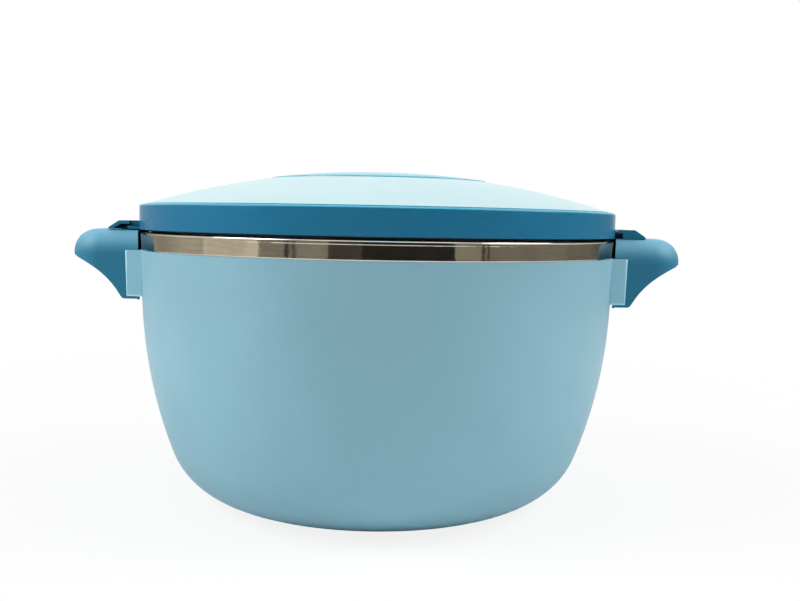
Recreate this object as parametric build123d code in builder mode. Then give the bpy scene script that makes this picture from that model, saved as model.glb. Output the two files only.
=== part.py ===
from build123d import *
import os
from math import atan2, cos, radians, sin, sqrt, tan

# Insulated casserole with a hinged lid, in millimetres.
# Origin: centre of the base, +Z up, handles along X. The hinge is at +X, the latch at -X, the front at -Y.

os.makedirs("parts", exist_ok=True)

# ---------------------------------------------------------------- driving dimensions
# These two set the size. Every other radius and height is counted from them further down.
SHELL_R = 148.6            # outer radius of the body just under the steel band
RIM_TOP = 165.5            # top of the steel rim above the base

# Bowl-shaped body
DRAFT = 1.77               # degrees, straight upper wall
BELLY_R = 286.0            # radius of the belly arc
BELLY_SWEEP = 18.8         # degrees
HEEL_R = 47.0              # radius of the heel arc
SHELL_WALL = 2.5
FOOT_RING = 9.5            # width of the flat ring that the body stands on
FOOT_RISE = 1.5            # the centre panel of the base stands this much higher
FILL_HOLE_R = 7.0          # foam filling holes of body and lid
PLUG_HEAD_R = 10.0
PLUG_HEAD = 1.1
PLUG_LEAD = 0.8            # chamfer on the plug's nose

# Steel bowl with its rolled rim and outer band
STEEL = 0.8
BAND_HEIGHT = 10.7
BAND_PROUD = 0.3           # the band stands out from the body
RIM_ROLL = 1.7             # outer radius of the rolled edge
MOUTH_ROUND = 1.8          # from the rim into the bowl
INSULATION = 13.5          # from the body's outer face to the bowl's outer face
POT_FLOOR = 20.0           # underside of the bowl
POT_HEEL_R = 36.0
POT_BELLY_R = 262.0

# Handle pads moulded on the body
PAD_PROUD = 2.7            # how far the flat outer face stands out at its top
PAD_LEAN = 0.8             # how far the face leans in towards its bottom
PAD_PAST = 0.8             # a pad runs this far past each end of its handle
PAD_SEAT = 0.15            # between a pad and the back of its handle
PAD_EDGE = 0.8

# Handles
HANDLE_HALF = 44.0
HANDLE_RAISE = 1.0         # the handle's top stands above the steel rim
HANDLE_DEPTH = 41.4        # from its top to the lip under the pad
HANDLE_GAP = 1.2           # between the band and the handle's inner face
HANDLE_REACH = 41.9        # from the inner face to the tip
HANDLE_WALL = 2.4
LIP = 1.3                  # thickness of the lip under the pad
BOW_R = 75.0               # plan radius of the outer edge
BOW_CORNER = 18.0
TOP_ROUND = 14.0           # rounding of the upper outer edge
HOLLOW_ROUND = 9.5         # the same edge inside the hollow
TIP_DROP = 14.7            # concave underside: its height at the tip, below the handle's top
MID_OUT, MID_DROP = 19.3, 23.2
END_OUT, END_DROP = 4.9, 38.6
HEEL_STEP = 1.8            # the underside runs in this far before it turns to the lip
HEEL_ROUND = 3.0
BEAD_R = 0.9               # bead along the lip's inner edge
POST_R = 4.0
POST_OFFSET = 27.0         # screw posts, to each side of the middle
POST_DROPS = (19.5, 32.0)  # below the handle's top
RIB = 1.8
SCREW_R = 1.9
SCREW_HEAD_R = 3.6
SCREW_HEAD = 2.2
SCREW_GRIP = 8.0           # length inside a post

# Small screws: up through the handle tops, and up through the lid's ledge
SMALL_R = 1.4
SMALL_HEAD_R = 2.6
SMALL_HEAD = 1.3
SMALL_POST_R = 2.7
TOP_SCREW_OUT = 6.1        # from the handle's inner face
TOP_SCREW_OFFSET = 18.0

# Hood shape shared by the hinge cover and the latch flap
HOOD_HEIGHT = 5.5
HOOD_FLAT = 6.9            # from the hinge pin to where the flat top turns down
HOOD_LENGTH = 13.4         # from the hinge pin to the short upright end
HOOD_END = 1.2             # height of that end
HOOD_WALL = 2.1
HOOD_HALF = 33.2

# Hinge
PIN_OUT = 1.8              # from the skirt's radius to the pin
PIN_R = 1.2
KNUCKLE_R = 2.6
KNUCKLE_WEB = 4.6          # height of the arms that carry the lid's knuckles
HINGE_HALF = 20.8          # half length of the pin and of the row of knuckles
KNUCKLE_FROM, KNUCKLE_TO = 4.3, 13.7   # the lid's knuckles, one on each side of the middle
CHEEK_IN = 0.6             # from the pin to the inner edge of the closed end walls
CHEEK_TAB = 3.1            # from the pin to the end of an end wall's top strip

# Lid
LID_GAP = 1.5              # between the steel rim and the skirt
SKIRT_PROUD = 0.6          # the skirt stands out from the body
SKIRT_HEIGHT = 15.2
SKIRT_WALL = 2.2
SKIRT_ROUND = 1.8
FLAT_DEPTH = 1.4           # flats on the skirt behind hinge and latch
FLAT_HALF = 28.0
LEDGE_RAISE = 1.3
LEDGE = 2.1
LEDGE_LAP = 2.8            # the ledge stops this far outside the steel plug
SHOULDER_WIDTH = 4.0       # from the skirt's radius in to the cover
SHOULDER_DROP = 3.0
SHOULDER = 2.0
COVER_PROUD = 0.4          # the cover's edge stands above the skirt
DOME_RISE = 22.44
COVER_WALL = 2.2
CAP_R = 68.8
CAP_SINK = 2.2             # the cap's seat lies this far below the dome's surface
CAP_PROUD = 0.5            # the cap's edge stands above the dome's surface
CAP_CROWN = 4.6            # from the cap's edge up to its middle
CAP_WALL = 1.8
CAP_ROUND = 0.8
CAP_GROOVE = 0.8
RECESS_ROUND = 0.5         # edge of the dome round the cap
CAP_PIN_R = 2.0
CAP_PIN_INSET = 16.0
CAP_PINS = 3
LID_SCREWS = 6
LID_SCREW_START = 30.0     # degrees
LID_SCREW = 9.0
LID_POST_R = 3.3
LINER = 0.6
LINER_GAP = 2.0            # between the liner's edge and the skirt
PLUG_GAP = 2.6             # between the steel plug and the bowl's mouth
PLUG_DEPTH = 10.3
PLUG_ROUND = 5.0
GASKET_INSET = 2.0
GASKET_WIDTH = 6.5
GASKET_ROUND = 0.6

# Latch
LATCH_OUT = 0.8            # from the skirt's radius to the latch pin
LATCH_PIN_R = 0.8
LATCH_BARREL_R = 1.4
EAR_FROM, EAR_TO = 26.0, 30.0          # outer ears, one on each side of the middle
EAR_MID = 5.0              # half width of the middle ear
TONGUE_OUT = 3.6
TONGUE = 1.9
TONGUE_HALF = 33.0
CATCH_OUT = 3.9            # from the handle's inner face to the plate
CATCH_WIDTH = 5.2
CATCH_BASE = 1.2
CATCH_HALF = 24.0
RIB_IN = 1.6               # from the plate's edge to the catch rib
RIB_WIDTH = 1.6
RIB_HEIGHT = 2.7
RIB_HALF = 12.0
CATCH_POST = 1.9           # height of the screw posts

# Clearances
SEAT = 0.3                 # between pieces that seat on each other
FOAM_GAP = 0.2
BORE_GAP = 0.05            # running fit of the pins
HOLE_GAP = 0.15            # a screw in its hole
FAR = 400.0                # a size beyond every piece, for cutting

# ---------------------------------------------------------------- worked out from them
# Heights
BAND_BOTTOM = RIM_TOP - BAND_HEIGHT
SHELL_TOP = RIM_TOP - STEEL - SEAT
FOAM_TOP = RIM_TOP - 2 * STEEL - MOUTH_ROUND - FOAM_GAP
PANEL_TOP = FOOT_RISE + SHELL_WALL
HANDLE_TOP = RIM_TOP + HANDLE_RAISE
HANDLE_BOTTOM = HANDLE_TOP - HANDLE_DEPTH
PAD_TOP = BAND_BOTTOM - SEAT
PAD_BOTTOM = HANDLE_BOTTOM + LIP + SEAT
HOOD_TOP = HANDLE_TOP + HOOD_HEIGHT
HOOD_END_Z = HANDLE_TOP + HOOD_END
PIN_Z = HOOD_TOP - KNUCKLE_R
LATCH_Z = HOOD_TOP - LATCH_BARREL_R
SKIRT_BOTTOM = RIM_TOP + LID_GAP
SKIRT_TOP = SKIRT_BOTTOM + SKIRT_HEIGHT
SHOULDER_TOP = SKIRT_TOP - SHOULDER_DROP
LEDGE_BOTTOM = SKIRT_BOTTOM + LEDGE_RAISE
LEDGE_TOP = LEDGE_BOTTOM + LEDGE
PLUG_BOTTOM = LEDGE_BOTTOM - PLUG_DEPTH
TONGUE_TOP = SKIRT_BOTTOM + TONGUE
CATCH_TOP = HANDLE_TOP + RIB_HEIGHT
SNAP_LOW = HANDLE_TOP + CATCH_BASE + SEAT

# Radii, and distances from the axis along X
BAND_R = SHELL_R + BAND_PROUD
NECK_R = BAND_R - STEEL - FOAM_GAP
PAD_X = SHELL_R + PAD_PROUD
PAD_BACK_X = PAD_X - PAD_LEAN - SHELL_WALL
HANDLE_INNER_R = BAND_R + HANDLE_GAP
HANDLE_TIP = HANDLE_INNER_R + HANDLE_REACH
SKIRT_R = SHELL_R + SKIRT_PROUD
SKIRT_INNER_R = SKIRT_R - SKIRT_WALL
FLAT_X = SKIRT_R - FLAT_DEPTH
COVER_R = SKIRT_R - SHOULDER_WIDTH
COVER_SEAT_R = COVER_R + SEAT
SHOULDER_R = COVER_R - COVER_WALL - 2 * SEAT
LINER_R = SKIRT_INNER_R - LINER_GAP
GASKET_OUTER_R = LINER_R - GASKET_INSET
GASKET_INNER_R = GASKET_OUTER_R - GASKET_WIDTH
LID_SCREW_RING_R = SHOULDER_R - SEAT - LID_POST_R
PIN_X = SKIRT_R + PIN_OUT
HOOD_CORNER_X = PIN_X + HOOD_FLAT
HOOD_END_X = PIN_X + HOOD_LENGTH
CHEEK_X = PIN_X - CHEEK_IN
CHEEK_TAB_X = PIN_X - CHEEK_TAB
LATCH_X = SKIRT_R + LATCH_OUT
TONGUE_X = SKIRT_R + TONGUE_OUT
CATCH_FROM_X = HANDLE_INNER_R + CATCH_OUT
CATCH_TO_X = CATCH_FROM_X + CATCH_WIDTH
RIB_FROM_X = CATCH_FROM_X + RIB_IN
RIB_TO_X = RIB_FROM_X + RIB_WIDTH

# Widths and places along Y
PAD_HALF = HANDLE_HALF + PAD_PAST
FLAP_HALF = HOOD_HALF + SEAT
PAD_SCREWS = [(side * POST_OFFSET, HANDLE_TOP - drop) for side in (-1, 1) for drop in POST_DROPS]
TOP_SCREWS = [(HANDLE_INNER_R + TOP_SCREW_OUT, side * TOP_SCREW_OFFSET) for side in (-1, 1)]

# The dome is part of a sphere through its apex and the cover's edge
COVER_EDGE = SKIRT_TOP + COVER_PROUD
DOME_APEX = COVER_EDGE + DOME_RISE
DOME_R = (COVER_R ** 2 + DOME_RISE ** 2) / (2 * DOME_RISE)


def dome_z(radius, sphere=DOME_R):
    """Height of the dome, or of a sphere inside it, at a radius from the axis."""
    return DOME_APEX - DOME_R + sqrt(sphere ** 2 - radius ** 2)


CAP_SEAT_R = CAP_R + CAP_GROOVE
CAP_SEAT = dome_z(CAP_SEAT_R) - CAP_SINK
CAP_RIM_Z = dome_z(CAP_R) + CAP_PROUD
CAP_CROWN_Z = CAP_RIM_Z + CAP_CROWN


def shell_r(height, inset=0.0):
    """Radius of the body's drafted wall at a height, set in by a wall."""
    return SHELL_R + (height - BAND_BOTTOM) * tan(radians(DRAFT)) - inset / cos(radians(DRAFT))


def floor_r(wall_r, top, floor, heel, belly):
    """Radius of a bowl's flat floor under a heel arc, a belly arc and a drafted wall."""
    upright = radians(90 - DRAFT)
    turn = radians(90 - DRAFT - BELLY_SWEEP)
    arcs_height = heel * (1 - cos(turn)) + belly * (cos(turn) - cos(upright))
    arcs_width = heel * sin(turn) + belly * (sin(upright) - sin(turn))
    return wall_r - arcs_width - (top - floor - arcs_height) * tan(radians(DRAFT))


MOUTH_R = shell_r(RIM_TOP, INSULATION + STEEL)
PLUG_R = MOUTH_R - PLUG_GAP
LEDGE_R = PLUG_R + LEDGE_LAP
FOOT_R = floor_r(SHELL_R, BAND_BOTTOM, 0, HEEL_R, BELLY_R) - FOOT_RING
PAD_ROOT_X = sqrt(shell_r(PAD_BOTTOM, SHELL_WALL) ** 2 - PAD_HALF ** 2)

# Side views: x runs away from the axis and y runs up, at the right and at the left
RIGHT = Plane(origin=(0, 0, 0), x_dir=(1, 0, 0), z_dir=(0, -1, 0))
LEFT = Plane(origin=(0, 0, 0), x_dir=(-1, 0, 0), z_dir=(0, 1, 0))
LOW = (Align.CENTER, Align.CENTER, Align.MIN)
CORNER = (Align.MIN, Align.MIN)
SIDE_START = (Align.MIN, Align.CENTER)


def bowl_outline(wall_r, top, floor, heel, belly):
    """Half section of a bowl: flat floor, heel arc, belly arc and drafted wall of a radius at the top."""
    start = (floor_r(wall_r, top, floor, heel, belly), floor)
    with BuildLine() as outline:
        Polyline((0, top), (0, floor), start)
        heel_arc = JernArc(start, (1, 0), heel, 90 - DRAFT - BELLY_SWEEP)
        belly_arc = JernArc(heel_arc @ 1, heel_arc % 1, belly, BELLY_SWEEP)
        Polyline(belly_arc @ 1, (wall_r, top), (0, top))
    make_face(outline.edges())


def shell_outline(inset, top):
    """Half section of the body, set in by a wall."""
    bowl_outline(shell_r(top, inset), top, inset, HEEL_R - inset, BELLY_R - inset)


def pot_outline(inset, top):
    """Half section of the steel bowl: its outside at inset 0, its inside at one steel thickness."""
    wall_r = shell_r(top, INSULATION + inset)
    bowl_outline(wall_r, top, POT_FLOOR + inset, POT_HEEL_R - inset, POT_BELLY_R - inset)


def block(x_from, x_to, low, high, mode=Mode.ADD):
    """Rectangle between two distances from the axis and two heights, in a side view."""
    with Locations((x_from, low)):
        Rectangle(x_to - x_from, high - low, align=CORNER, mode=mode)


def pad_outline(clearance):
    """Side view of a handle pad, grown on its outer, upper and lower faces."""
    with BuildLine() as outline:
        Polyline((PAD_ROOT_X, PAD_BOTTOM - clearance), (PAD_X - PAD_LEAN + clearance, PAD_BOTTOM - clearance),
                 (PAD_X + clearance, PAD_TOP + clearance), (PAD_ROOT_X, PAD_TOP + clearance), close=True)
    make_face(outline.edges())


def pad_hollow(clearance):
    """Side view of the hollow inside a pad."""
    block(PAD_ROOT_X, PAD_BACK_X - clearance,
          PAD_BOTTOM + SHELL_WALL + clearance, PAD_TOP - SHELL_WALL - clearance)


def across(*ranges):
    """Side view planes at the start of each stretch of y; an extrusion runs towards -Y from there."""
    return [RIGHT.offset(-y_to) for y_from, y_to in ranges]


def both_ways(y_from, y_to):
    """The two stretches of y at equal distances in front of and behind the middle."""
    return [(y_from, y_to), (-y_to, -y_from)]


# ---------------------------------------------------------------- body

with BuildPart() as outer_shell:
    with BuildSketch(RIGHT) as shell_section:
        shell_outline(0, BAND_BOTTOM)
        block(0, NECK_R, BAND_BOTTOM, SHELL_TOP)
        fillet(shell_section.vertices().group_by(Axis.Y)[-1].sort_by(Axis.X)[-1:], RIM_ROLL - STEEL)
    revolve(axis=Axis.Z)
    with BuildSketch(RIGHT, LEFT):
        pad_outline(0)
    extrude(amount=PAD_HALF, both=True)
    pad_faces = faces().filter_by(lambda face: abs(face.center().X) > PAD_X - PAD_LEAN)
    fillet([edge for face in pad_faces for edge in face.edges()], PAD_EDGE)
    with BuildSketch(RIGHT):
        shell_outline(SHELL_WALL, SHELL_TOP)
    revolve(axis=Axis.Z, mode=Mode.SUBTRACT)
    with BuildSketch(RIGHT, LEFT):
        pad_hollow(0)
    extrude(amount=PAD_HALF - SHELL_WALL, both=True, mode=Mode.SUBTRACT)
    with BuildSketch(Plane.XY.offset(SHELL_WALL)):
        Circle(FOOT_R + SHELL_WALL)
    extrude(amount=FOOT_RISE)
    with BuildSketch(Plane.XY):
        Circle(FOOT_R)
    extrude(amount=FOOT_RISE, mode=Mode.SUBTRACT)
    with BuildSketch(Plane.XY):
        Circle(FILL_HOLE_R)
    extrude(amount=PANEL_TOP, mode=Mode.SUBTRACT)
    with BuildSketch(Plane.YZ):
        with Locations(*PAD_SCREWS):
            Circle(SCREW_R + HOLE_GAP)
    extrude(amount=FAR, both=True, mode=Mode.SUBTRACT)
outer_shell.part.label = "outer_shell"

with BuildPart() as inner_pot:
    with BuildSketch(RIGHT) as pot_section:
        block(0, BAND_R, BAND_BOTTOM, RIM_TOP)
        fillet(pot_section.vertices().group_by(Axis.X)[-1].sort_by(Axis.Y)[-1:], RIM_ROLL)
        with BuildSketch(mode=Mode.PRIVATE) as channel:
            block(shell_r(BAND_BOTTOM, INSULATION + STEEL / 2), BAND_R - STEEL, BAND_BOTTOM, RIM_TOP - STEEL)
            corners = channel.vertices().group_by(Axis.Y)[-1].sort_by(Axis.X)
            fillet(corners[:1], MOUTH_ROUND + STEEL)
            fillet(corners[1:], RIM_ROLL - STEEL)
        add(channel.sketch, mode=Mode.SUBTRACT)
        pot_outline(0, RIM_TOP)
        with BuildSketch(mode=Mode.PRIVATE) as bowl_inside:
            pot_outline(STEEL, RIM_TOP)
        add(bowl_inside.sketch, mode=Mode.SUBTRACT)
        mouth = pot_section.vertices().group_by(Axis.Y)[-1].sort_by(Axis.X)[:1]
        fillet(mouth, MOUTH_ROUND)
    revolve(axis=Axis.Z)
inner_pot.part.label = "inner_pot"

with BuildPart() as pot_foam:
    with BuildSketch(RIGHT):
        shell_outline(SHELL_WALL + FOAM_GAP, FOAM_TOP)
    revolve(axis=Axis.Z)
    with BuildSketch(RIGHT, LEFT):
        pad_hollow(FOAM_GAP)
    extrude(amount=PAD_HALF - SHELL_WALL - FOAM_GAP, both=True)
    with BuildSketch(RIGHT):
        pot_outline(-FOAM_GAP, FOAM_TOP)
    revolve(axis=Axis.Z, mode=Mode.SUBTRACT)
    with BuildSketch(Plane.XY):
        Circle(FOOT_R + SHELL_WALL + FOAM_GAP)
    extrude(amount=PANEL_TOP + FOAM_GAP, mode=Mode.SUBTRACT)
    for side in (-1, 1):
        with BuildSketch(Plane(origin=(side * PAD_BACK_X, 0, 0), x_dir=(0, -side, 0), z_dir=(-side, 0, 0))):
            with Locations(*PAD_SCREWS):
                Circle(SCREW_HEAD_R + FOAM_GAP)
        extrude(amount=SCREW_HEAD + FOAM_GAP, mode=Mode.SUBTRACT)
pot_foam.part.label = "pot_foam"

with BuildPart() as fill_plug:
    with BuildSketch(Plane.XY.offset(FOOT_RISE)):
        Circle(PLUG_HEAD_R)
    extrude(amount=-PLUG_HEAD)
    with BuildSketch(Plane.XY.offset(FOOT_RISE)):
        Circle(FILL_HOLE_R - BORE_GAP)
    extrude(amount=SHELL_WALL)
    chamfer(edges().group_by(Axis.Z)[-1], PLUG_LEAD)
fill_plug.part.label = "fill_plug"

# ---------------------------------------------------------------- handles, one moulding used twice


def handle_form(inset, top_round):
    """Handle without its hollow: bowed plan, concave underside, well rounded upper edge."""
    start_x = HANDLE_INNER_R - 2 * BOW_CORNER
    tip = (HANDLE_TIP, HANDLE_TOP - TIP_DROP)
    middle = (HANDLE_INNER_R + MID_OUT, HANDLE_TOP - MID_DROP)
    end = (HANDLE_INNER_R + END_OUT, HANDLE_TOP - END_DROP)
    beyond_x = HANDLE_TIP + BOW_CORNER
    slope = atan2(MID_DROP - TIP_DROP, HANDLE_REACH - MID_OUT)
    with BuildPart() as form:
        with BuildSketch(RIGHT) as side:
            with BuildLine():
                ThreePointArc(tip, middle, end)
                Polyline(end, (end[0] - HEEL_STEP, HANDLE_BOTTOM), (start_x, HANDLE_BOTTOM),
                         (start_x, HANDLE_TOP), (beyond_x, HANDLE_TOP),
                         (beyond_x, tip[1] + BOW_CORNER * sin(slope)), tip)
            make_face()
            heel = side.vertices().group_by(Axis.Y)[0].sort_by(Axis.X)[-1:]
            fillet(heel, HEEL_ROUND)
            if inset:
                offset(amount=-inset)
        extrude(amount=2 * HANDLE_HALF, both=True)
        with BuildSketch(Plane.XY.offset(HANDLE_BOTTOM - BOW_CORNER)) as plan:
            with Locations((HANDLE_TIP - BOW_R, 0)):
                Circle(BOW_R - inset)
            with Locations((start_x, 0)):
                Rectangle(FAR, 2 * (HANDLE_HALF - inset), align=SIDE_START, mode=Mode.INTERSECT)
            fillet(plan.vertices().group_by(Axis.X)[-1], BOW_CORNER - inset)
        extrude(amount=FAR, mode=Mode.INTERSECT)
        rim = faces().sort_by(Axis.Z)[-1].edges().sort_by(Axis.X)[1:]
        fillet(rim, top_round)
    return form.part


with BuildPart() as handle_core:
    with BuildSketch(Plane.YZ.offset(SHELL_R - SHELL_WALL)):
        with Locations(*PAD_SCREWS):
            Circle(POST_R)
    extrude(amount=FAR)
    with BuildSketch(Plane.XY.offset(HANDLE_BOTTOM)):
        with Locations((SHELL_R - SHELL_WALL, -POST_OFFSET), (SHELL_R - SHELL_WALL, POST_OFFSET)):
            Rectangle(FAR, RIB, align=SIDE_START)
    extrude(amount=FAR)
    add(handle_form(HANDLE_WALL / 2, HOLLOW_ROUND), mode=Mode.INTERSECT)

with BuildPart() as bead_ring:
    with BuildSketch(RIGHT):
        with Locations((HANDLE_INNER_R, HANDLE_BOTTOM + LIP - BEAD_R)):
            Circle(BEAD_R)
    revolve(axis=Axis.Z)
    with BuildSketch(Plane.XY):
        Rectangle(FAR, 2 * HANDLE_HALF, align=SIDE_START)
    extrude(amount=FAR, mode=Mode.INTERSECT)

with BuildPart() as handle_right:
    add(handle_form(0, TOP_ROUND))
    add(handle_form(HANDLE_WALL, HOLLOW_ROUND), mode=Mode.SUBTRACT)
    add(handle_core.part)
    with BuildSketch(Plane.XY):
        Circle(HANDLE_INNER_R)
    extrude(amount=FAR, mode=Mode.SUBTRACT)
    with BuildSketch(RIGHT):
        pad_outline(PAD_SEAT)
    extrude(amount=2 * HANDLE_HALF, both=True, mode=Mode.SUBTRACT)
    with BuildSketch(Plane.YZ.offset(PAD_BACK_X)):
        with Locations(*PAD_SCREWS):
            Circle(SCREW_R + HOLE_GAP)
    extrude(amount=PAD_X - PAD_BACK_X + SCREW_GRIP + SEAT, mode=Mode.SUBTRACT)
    with BuildSketch(Plane.XY.offset(HANDLE_TOP)):
        with Locations(*TOP_SCREWS):
            Circle(SMALL_R + HOLE_GAP)
    extrude(amount=-2 * HANDLE_WALL, mode=Mode.SUBTRACT)
    add(bead_ring.part)
handle_right.part.label = "handle_right"

with BuildPart() as handle_left:
    add(handle_right.part, rotation=(0, 0, 180))
handle_left.part.label = "handle_left"

with BuildPart() as handle_screws_right:
    with BuildSketch(Plane.YZ.offset(PAD_BACK_X)):
        with Locations(*PAD_SCREWS):
            Circle(SCREW_R)
    extrude(amount=PAD_X - PAD_BACK_X + SCREW_GRIP)
    with BuildSketch(Plane.YZ.offset(PAD_BACK_X)):
        with Locations(*PAD_SCREWS):
            Circle(SCREW_HEAD_R)
    extrude(amount=-SCREW_HEAD)
    fillet(edges().group_by(Axis.X)[0], SCREW_HEAD / 3)
handle_screws_right.part.label = "handle_screws_right"

with BuildPart() as handle_screws_left:
    add(handle_screws_right.part, rotation=(0, 0, 180))
handle_screws_left.part.label = "handle_screws_left"

with BuildPart() as top_screws:
    with BuildSketch(Plane.XY.offset(HANDLE_TOP - HANDLE_WALL)):
        with Locations(*TOP_SCREWS):
            Circle(SMALL_R)
    extrude(amount=HANDLE_WALL + CATCH_POST - SEAT)
    with BuildSketch(Plane.XY.offset(HANDLE_TOP - HANDLE_WALL)):
        with Locations(*TOP_SCREWS):
            Circle(SMALL_HEAD_R)
    extrude(amount=-SMALL_HEAD)
    fillet(edges().group_by(Axis.Z)[0], SMALL_HEAD / 3)

# ---------------------------------------------------------------- hinge

HOOD_SLOPE = atan2(HOOD_TOP - HOOD_END_Z, HOOD_END_X - HOOD_CORNER_X)


def hood_outer(start_x, low):
    """Side view of the hood filled down to a height: flat top, slope and short upright end."""
    with BuildLine() as outline:
        Polyline((start_x, low), (HOOD_END_X, low), (HOOD_END_X, HOOD_END_Z),
                 (HOOD_CORNER_X, HOOD_TOP), (start_x, HOOD_TOP), close=True)
    make_face(outline.edges())


def hood_hollow(start_x, low):
    """Side view of the space under the hood, one wall inside its top and its slope."""
    ceiling = HOOD_TOP - HOOD_WALL
    corner_x = HOOD_CORNER_X - HOOD_WALL * tan(HOOD_SLOPE / 2)
    low_x = corner_x + (ceiling - low) / tan(HOOD_SLOPE)
    with BuildLine() as outline:
        Polyline((start_x, low), (low_x, low), (corner_x, ceiling), (start_x, ceiling), close=True)
    make_face(outline.edges(), mode=Mode.SUBTRACT)


def knuckle(x, height, radius):
    """End view of a hinge knuckle."""
    with Locations((x, height)):
        Circle(radius)


with BuildPart() as hinge_bracket:
    with BuildSketch(*across((-HOOD_HALF, HOOD_HALF))):
        hood_outer(PIN_X, HANDLE_TOP)
        hood_hollow(PIN_X, HANDLE_TOP)
    extrude(amount=2 * HOOD_HALF)
    with BuildSketch(*across(*both_ways(HOOD_HALF - HOOD_WALL, HOOD_HALF))):
        hood_outer(CHEEK_X, HANDLE_TOP)
        block(CHEEK_TAB_X, CHEEK_X, HOOD_TOP - HOOD_WALL, HOOD_TOP)
    extrude(amount=HOOD_WALL)
    with BuildSketch(*across((-HOOD_HALF + HOOD_WALL, HOOD_HALF - HOOD_WALL))):
        knuckle(PIN_X, PIN_Z, KNUCKLE_R)
        block(PIN_X - KNUCKLE_R, PIN_X + KNUCKLE_R, HOOD_TOP - HOOD_WALL, HOOD_TOP, Mode.INTERSECT)
    extrude(amount=2 * (HOOD_HALF - HOOD_WALL))
    with BuildSketch(*across((-HINGE_HALF, HINGE_HALF))):
        knuckle(PIN_X, PIN_Z, KNUCKLE_R)
    extrude(amount=2 * HINGE_HALF)
    with BuildSketch(*across(*both_ways(KNUCKLE_FROM - SEAT, KNUCKLE_TO + SEAT))):
        block(PIN_X - 2 * KNUCKLE_R, PIN_X + KNUCKLE_R + SEAT, HANDLE_TOP, HOOD_TOP)
    extrude(amount=KNUCKLE_TO - KNUCKLE_FROM + 2 * SEAT, mode=Mode.SUBTRACT)
    with BuildSketch(Plane.XY.offset(HANDLE_TOP)):
        with Locations(*TOP_SCREWS):
            Circle(SMALL_POST_R)
    extrude(amount=HOOD_TOP - HOOD_WALL - HANDLE_TOP)
    with BuildSketch(Plane.XY.offset(HANDLE_TOP)):
        with Locations(*TOP_SCREWS):
            Circle(SMALL_R + HOLE_GAP)
    extrude(amount=HOOD_TOP - HOOD_WALL - HANDLE_TOP, mode=Mode.SUBTRACT)
    with BuildSketch(RIGHT):
        knuckle(PIN_X, PIN_Z, PIN_R + BORE_GAP)
    extrude(amount=HOOD_HALF - HOOD_WALL, both=True, mode=Mode.SUBTRACT)
hinge_bracket.part.label = "hinge_bracket"

with BuildPart() as bracket_screws:
    add(top_screws.part)
bracket_screws.part.label = "bracket_screws"

with BuildPart() as hinge_pin:
    with BuildSketch(RIGHT):
        knuckle(PIN_X, PIN_Z, PIN_R)
    extrude(amount=HINGE_HALF, both=True)
    chamfer(edges().filter_by(GeomType.CIRCLE), PIN_R / 4)
hinge_pin.part.label = "hinge_pin"

# ---------------------------------------------------------------- lid


def dome_outline(radius, low, sphere):
    """Half section of a round block under a sphere that is concentric with the lid's top."""
    with BuildLine() as outline:
        Polyline((0, dome_z(0, sphere)), (0, low), (radius, low), (radius, dome_z(radius, sphere)))
        ThreePointArc((radius, dome_z(radius, sphere)), (radius / 2, dome_z(radius / 2, sphere)),
                      (0, dome_z(0, sphere)))
    make_face(outline.edges())


def lid_screw_places():
    """Places of the screws that join the ledge to the posts under the cover."""
    return PolarLocations(LID_SCREW_RING_R, LID_SCREWS, start_angle=LID_SCREW_START)


def cap_pin_places():
    """Places of the pins under the centre cap."""
    return PolarLocations(CAP_R - CAP_PIN_INSET, CAP_PINS, start_angle=LID_SCREW_START)


def wall_x(y):
    """Where the middle of the skirt's wall, or of its flat, lies at a distance y from the middle."""
    return min(FLAT_X - SKIRT_WALL / 2, sqrt((SKIRT_R - SKIRT_WALL / 2) ** 2 - y ** 2))


with BuildPart() as skirt_flats:
    with BuildSketch(RIGHT, LEFT):
        block(FLAT_X - SKIRT_WALL, SKIRT_R, SKIRT_BOTTOM, SKIRT_TOP)
    extrude(amount=FLAT_HALF, both=True)
    with BuildSketch(Plane.XY.offset(SKIRT_BOTTOM)):
        Circle(SKIRT_INNER_R + SKIRT_WALL / 2)
    extrude(amount=SKIRT_TOP - SKIRT_BOTTOM, mode=Mode.INTERSECT)
    with BuildSketch(Plane.XY.offset(SHOULDER_TOP)):
        Circle(COVER_SEAT_R)
    extrude(amount=SKIRT_TOP - SHOULDER_TOP, mode=Mode.SUBTRACT)

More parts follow.
